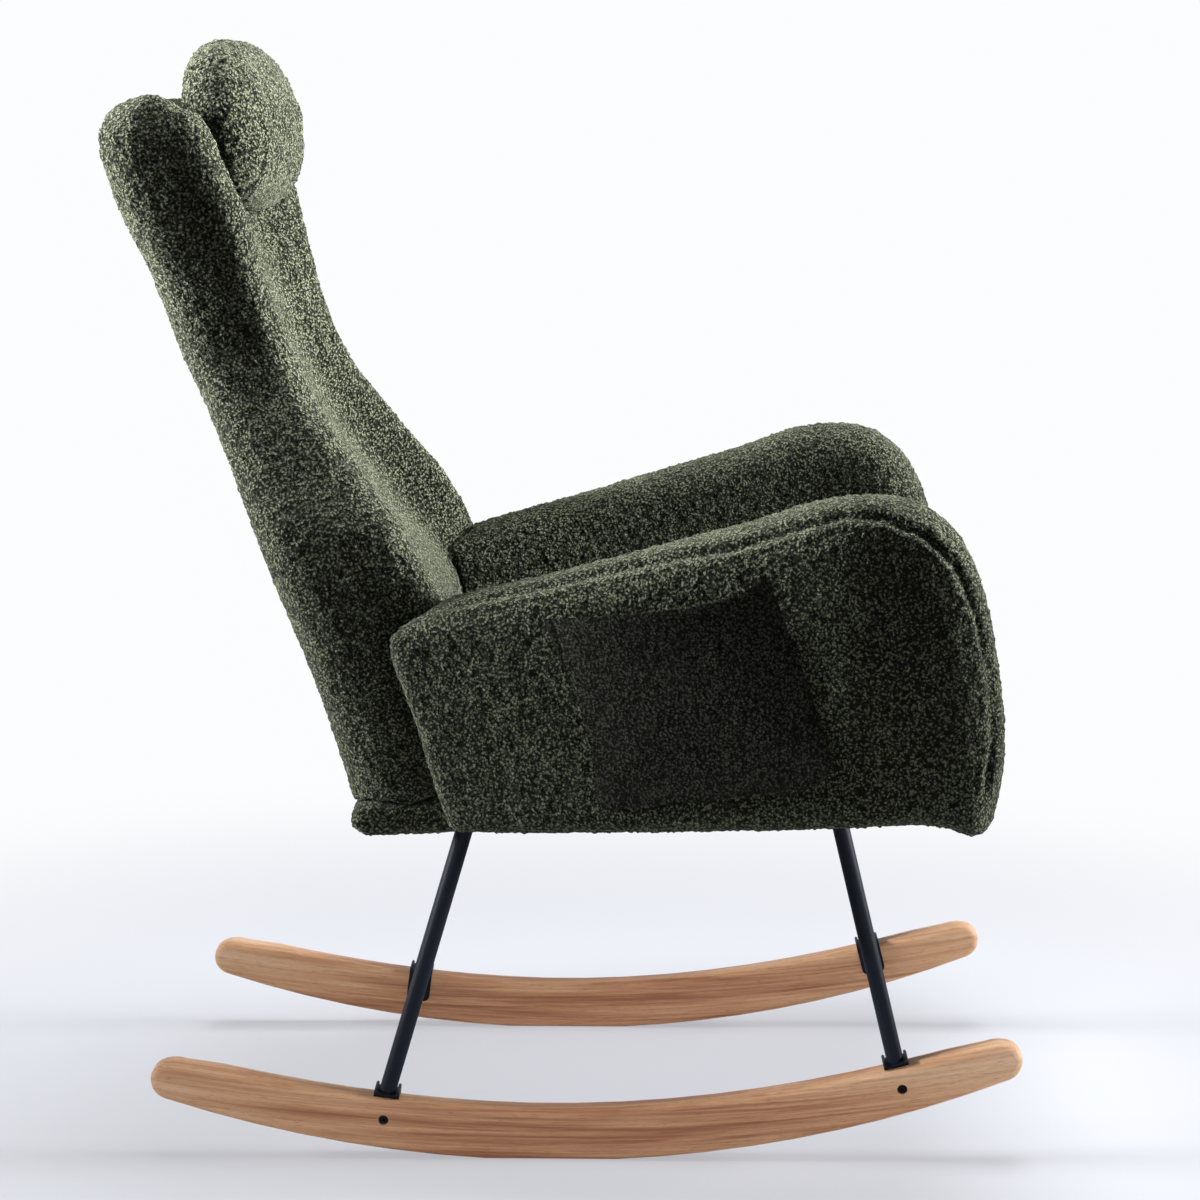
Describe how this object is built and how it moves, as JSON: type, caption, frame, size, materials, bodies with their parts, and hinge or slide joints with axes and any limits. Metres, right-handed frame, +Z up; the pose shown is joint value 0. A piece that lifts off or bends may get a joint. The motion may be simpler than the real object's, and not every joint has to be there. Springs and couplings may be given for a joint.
{
  "type": "platform rocker",
  "caption": "Wing-back rocking chair: a curly-pile upholstered seat with padded arms, side pockets and a head pillow, on steel legs and curved wooden runners.",
  "frame": {"origin": "on the floor, under the middle of the chair's outline", "axes": "+Z up; -Y towards the chair's front, the way the sitter faces; +X towards the sitter's left"},
  "size_m": [0.7212, 0.8536, 1.0396],
  "materials": {
    "boucle_fabric": "curly pile, dark olive green",
    "pocket_fabric": "short pile, dark grey green",
    "runner_wood": "satin, pale brown",
    "frame_wood": "raw",
    "black_steel": "satin black powder coat",
    "spring_steel": "plain",
    "black_cloth": "woven"
  },
  "bodies": {
    "chair": {"runner_right": "runner_wood", "foot_bracket_rear_right": "black_steel", "leg_tube_rear_right": "black_steel", "leg_plate_rear_right": "black_steel", "runner_bolt_rear_right": "black_steel", "plate_bolt_rear_right_a": "black_steel", "plate_bolt_rear_right_b": "black_steel", "foot_bracket_front_right": "black_steel", "leg_tube_front_right": "black_steel", "leg_plate_front_right": "black_steel", "runner_bolt_front_right": "black_steel", "plate_bolt_front_right_a": "black_steel", "plate_bolt_front_right_b": "black_steel", "runner_left": "runner_wood", "foot_bracket_rear_left": "black_steel", "leg_tube_rear_left": "black_steel", "leg_plate_rear_left": "black_steel", "runner_bolt_rear_left": "black_steel", "plate_bolt_rear_left_a": "black_steel", "plate_bolt_rear_left_b": "black_steel", "foot_bracket_front_left": "black_steel", "leg_tube_front_left": "black_steel", "leg_plate_front_left": "black_steel", "runner_bolt_front_left": "black_steel", "plate_bolt_front_left_a": "black_steel", "plate_bolt_front_left_b": "black_steel", "seat_cover": "boucle_fabric", "front_rail": "frame_wood", "rear_rail": "frame_wood", "side_rail_right": "frame_wood", "side_rail_left": "frame_wood", "crossbar_rear": "frame_wood", "crossbar_front": "frame_wood", "seat_spring_1": "spring_steel", "seat_spring_2": "spring_steel", "seat_spring_3": "spring_steel", "seat_spring_4": "spring_steel", "dust_cover": "black_cloth", "seat_cushion": "boucle_fabric", "back": "boucle_fabric", "back_sill": "frame_wood", "back_stile_right": "frame_wood", "wing_board_right": "frame_wood", "back_stile_left": "frame_wood", "wing_board_left": "frame_wood", "back_rail_1": "frame_wood", "back_rail_2": "frame_wood", "back_rail_3": "frame_wood", "back_webbing_1": "black_cloth", "back_webbing_2": "black_cloth", "arm_right": "boucle_fabric", "arm_panel_right": "frame_wood", "arm_block_right": "frame_wood", "pocket_right": "pocket_fabric", "arm_left": "boucle_fabric", "arm_panel_left": "frame_wood", "arm_block_left": "frame_wood", "pocket_left": "pocket_fabric"},
    "headrest": {"head_pillow": "boucle_fabric"}
  },
  "joints": [
    {"name": "headrest_slide", "type": "slide", "parent": "chair", "child": "headrest", "axis": [0, 0.3717, 0.9283], "range_m": [-0.05, 0]}
  ]
}
